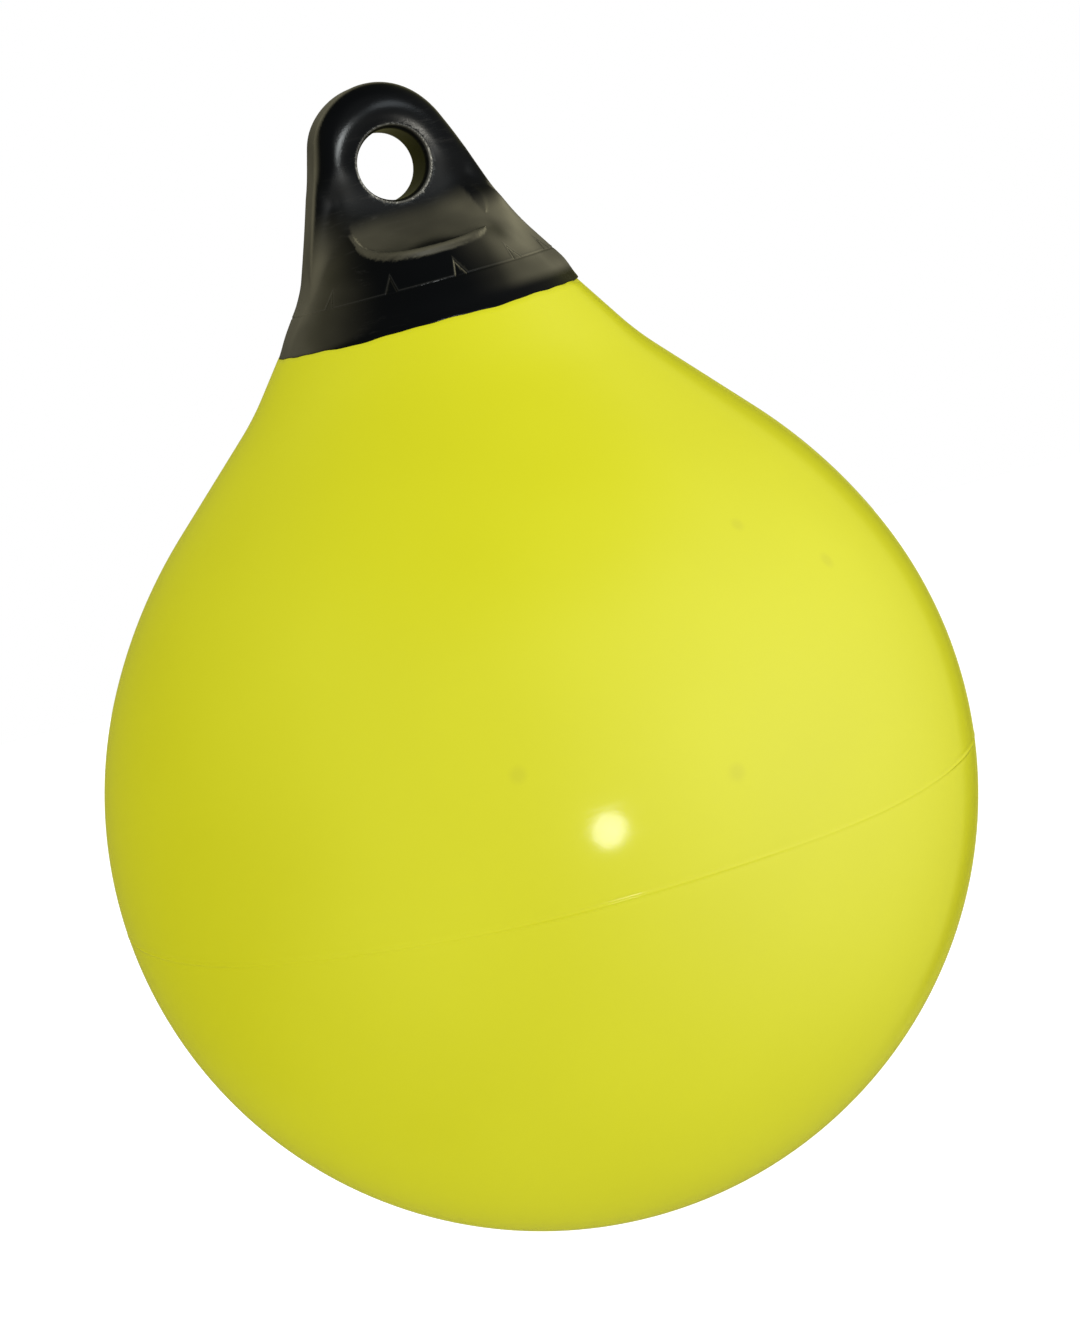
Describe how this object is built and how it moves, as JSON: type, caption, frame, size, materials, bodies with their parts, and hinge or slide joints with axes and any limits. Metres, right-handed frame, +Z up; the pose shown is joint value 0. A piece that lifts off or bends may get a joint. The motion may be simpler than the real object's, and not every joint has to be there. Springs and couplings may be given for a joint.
{
  "type": "inflatable mooring buoy",
  "caption": "Inflatable vinyl mooring buoy: a hollow ball that flares up into a moulded black end with a thick lug and a ringed rope eye, and an inflation valve behind it.",
  "frame": {"origin": "centre of the rope eye, on the axis of its hole and midway through the lug", "axes": "+Z up along the ball's axis, away from the ball; Y along the eye's hole, with the plain front of the lug facing -Y and the inflation valve on the +Y side; X across the lug"},
  "size_m": [0.3046, 0.3048, 0.4054],
  "materials": {
    "yellow_vinyl": "gloss",
    "black_vinyl": "gloss",
    "valve_plastic": "satin",
    "valve_seal": "matte"
  },
  "bodies": {
    "root": {"buoy_body": "yellow_vinyl", "rope_end": "black_vinyl", "valve_bush": "valve_plastic", "valve_washer": "valve_seal", "valve_screw": "valve_plastic"}
  },
  "joints": []
}
